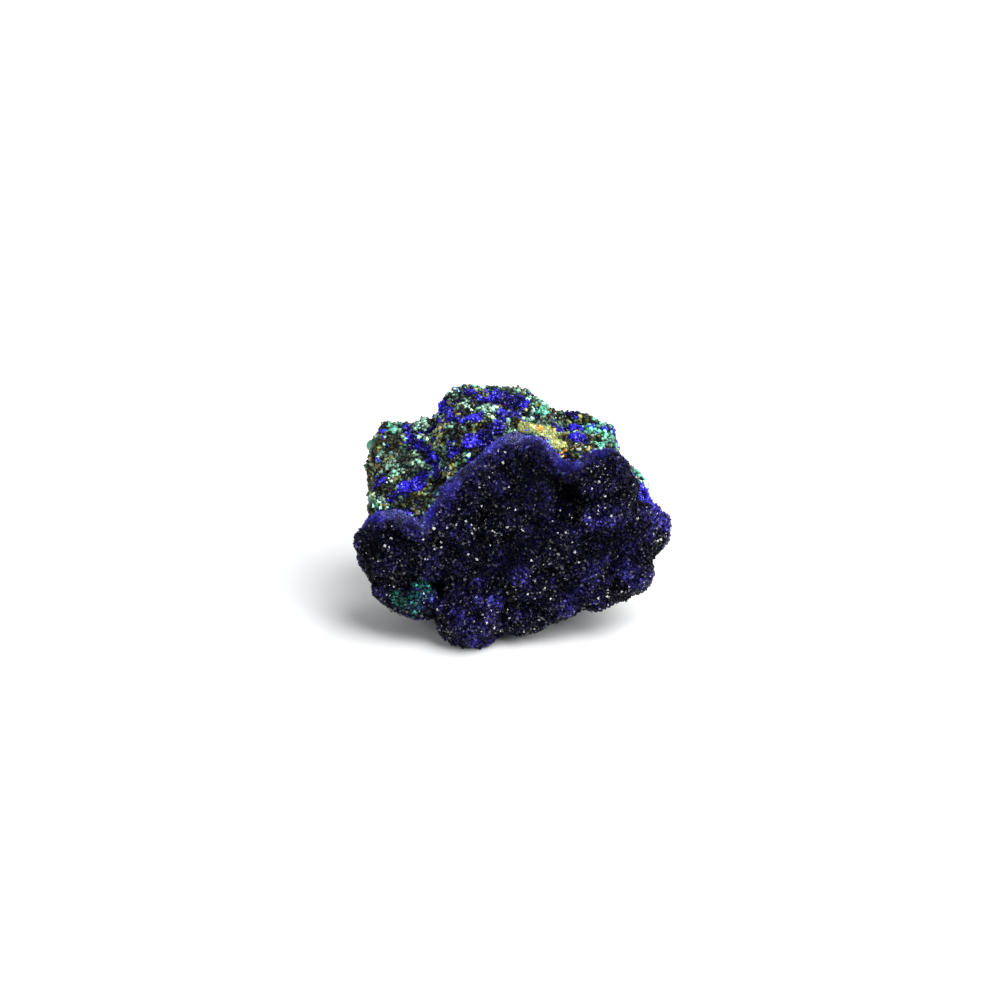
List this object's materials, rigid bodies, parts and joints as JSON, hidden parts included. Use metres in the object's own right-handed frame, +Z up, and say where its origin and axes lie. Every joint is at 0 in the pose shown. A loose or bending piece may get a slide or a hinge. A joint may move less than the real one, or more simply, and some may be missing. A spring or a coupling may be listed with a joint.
{
  "type": "azurite specimen",
  "caption": "Rough chip of vein rock: a lumpy, wavy-rimmed crust of dark blue azurite crystals over a ledged matrix of green, brown and blue minerals, resting on worn flats.",
  "frame": {"origin": "on the resting surface, under the middle of the bounding box", "axes": "+X to the right as seen by someone facing the crystal crust, -Y the way the crust faces, +Z up"},
  "size_m": [0.028, 0.0168, 0.0207],
  "materials": {
    "azurite": "fine sparkling crystals, dark indigo to ultramarine",
    "matrix": "dull, granular, olive-brown and ochre with teal malachite"
  },
  "bodies": {
    "root": {"azurite_specimen": "azurite"}
  },
  "joints": []
}
